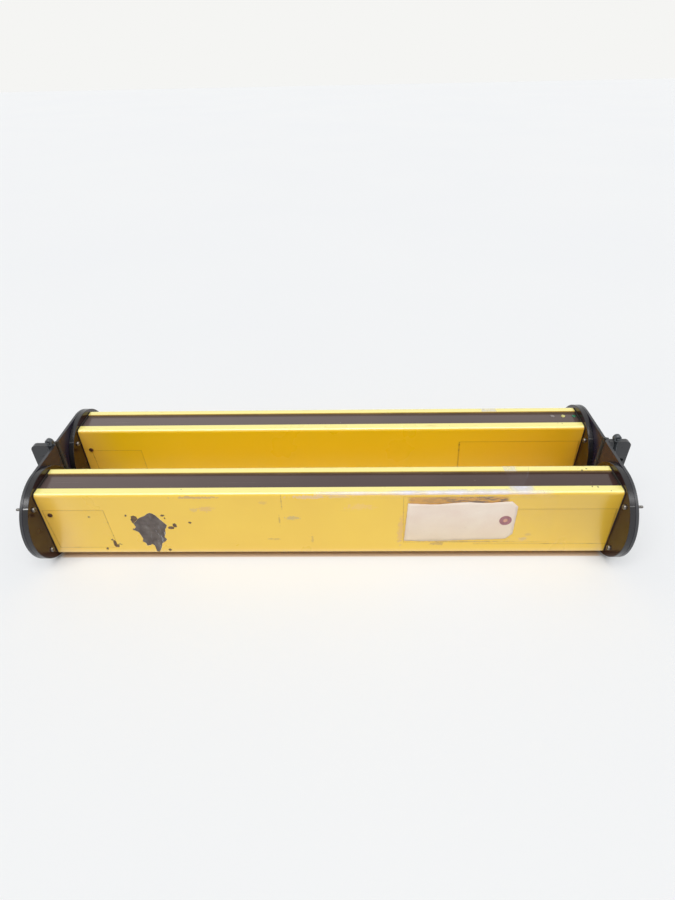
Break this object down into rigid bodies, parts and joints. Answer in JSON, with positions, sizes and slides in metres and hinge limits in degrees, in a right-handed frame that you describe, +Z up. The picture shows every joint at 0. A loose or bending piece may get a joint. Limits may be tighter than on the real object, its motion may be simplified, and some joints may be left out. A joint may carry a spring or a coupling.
{
  "type": "safety light curtain",
  "caption": "Safety light curtain pair: two yellow extruded bars with dark windows, round black end caps and slotted end brackets that meet between the bars.",
  "frame": {"origin": "on the floor, under the middle of the pair", "axes": "+X along the bars towards the lamps and receptacles, +Y from the emitter to the receiver, +Z up, the way the windows face"},
  "size_m": [0.686, 0.222, 0.1129],
  "materials": {
    "black_bracket_paint": "black powder-coated steel sheet",
    "black_plastic": "black moulded plastic",
    "black_rubber": "black sealing rubber",
    "black_steel": "blackened steel",
    "carrier_plastic": "black moulded plastic",
    "chip_plastic": "black epoxy",
    "circuit_laminate": "green laminate",
    "clear_plastic": "clear moulded acrylic",
    "contact_brass": "gold-plated brass",
    "diode_plastic": "tinted epoxy",
    "filter_window": "dark infrared filter acrylic",
    "green_lens": "green lens",
    "nickel": "nickel-plated metal",
    "nylon": "black nylon",
    "ring_paper": "red-brown paper",
    "tag_paper": "buff paper",
    "yellow_lens": "cream-yellow lens",
    "yellow_paint": "yellow enamel on extruded aluminium",
    "zinc_steel": "zinc-plated steel"
  },
  "bodies": {
    "root": {"bracket_nuts": "zinc_steel", "bracket_screws": "zinc_steel", "bracket_washers": "zinc_steel", "cable_ties": "nylon", "cap_screws": "black_steel", "emitter_board_header": "carrier_plastic", "emitter_cap_gaskets": "black_rubber", "emitter_chips": "chip_plastic", "emitter_circuit_board": "circuit_laminate", "emitter_diodes": "diode_plastic", "emitter_housing": "yellow_paint", "emitter_left_bracket": "black_bracket_paint", "emitter_left_cap": "black_plastic", "emitter_lens_strip": "clear_plastic", "emitter_optics_carrier": "carrier_plastic", "emitter_receptacle": "nickel", "emitter_receptacle_contacts": "contact_brass", "emitter_receptacle_insert": "carrier_plastic", "emitter_receptacle_nut": "nickel", "emitter_right_bracket": "black_bracket_paint", "emitter_right_cap": "black_plastic", "emitter_window": "filter_window", "emitter_window_seals": "black_rubber", "paper_tag": "tag_paper", "receiver_board_header": "carrier_plastic", "receiver_cap_gaskets": "black_rubber", "receiver_chips": "chip_plastic", "receiver_circuit_board": "circuit_laminate", "receiver_clear_lamp": "clear_plastic", "receiver_green_lamp": "green_lens", "receiver_housing": "yellow_paint", "receiver_left_bracket": "black_bracket_paint", "receiver_left_cap": "black_plastic", "receiver_lens_strip": "clear_plastic", "receiver_optics_carrier": "carrier_plastic", "receiver_photodiodes": "chip_plastic", "receiver_receptacle": "nickel", "receiver_receptacle_contacts": "contact_brass", "receiver_receptacle_insert": "carrier_plastic", "receiver_receptacle_nut": "nickel", "receiver_right_bracket": "black_bracket_paint", "receiver_right_cap": "black_plastic", "receiver_window": "filter_window", "receiver_window_seals": "black_rubber", "receiver_yellow_lamp": "yellow_lens", "side_screw_nuts": "black_steel", "side_screws": "black_steel", "tag_ring": "ring_paper"}
  },
  "joints": []
}
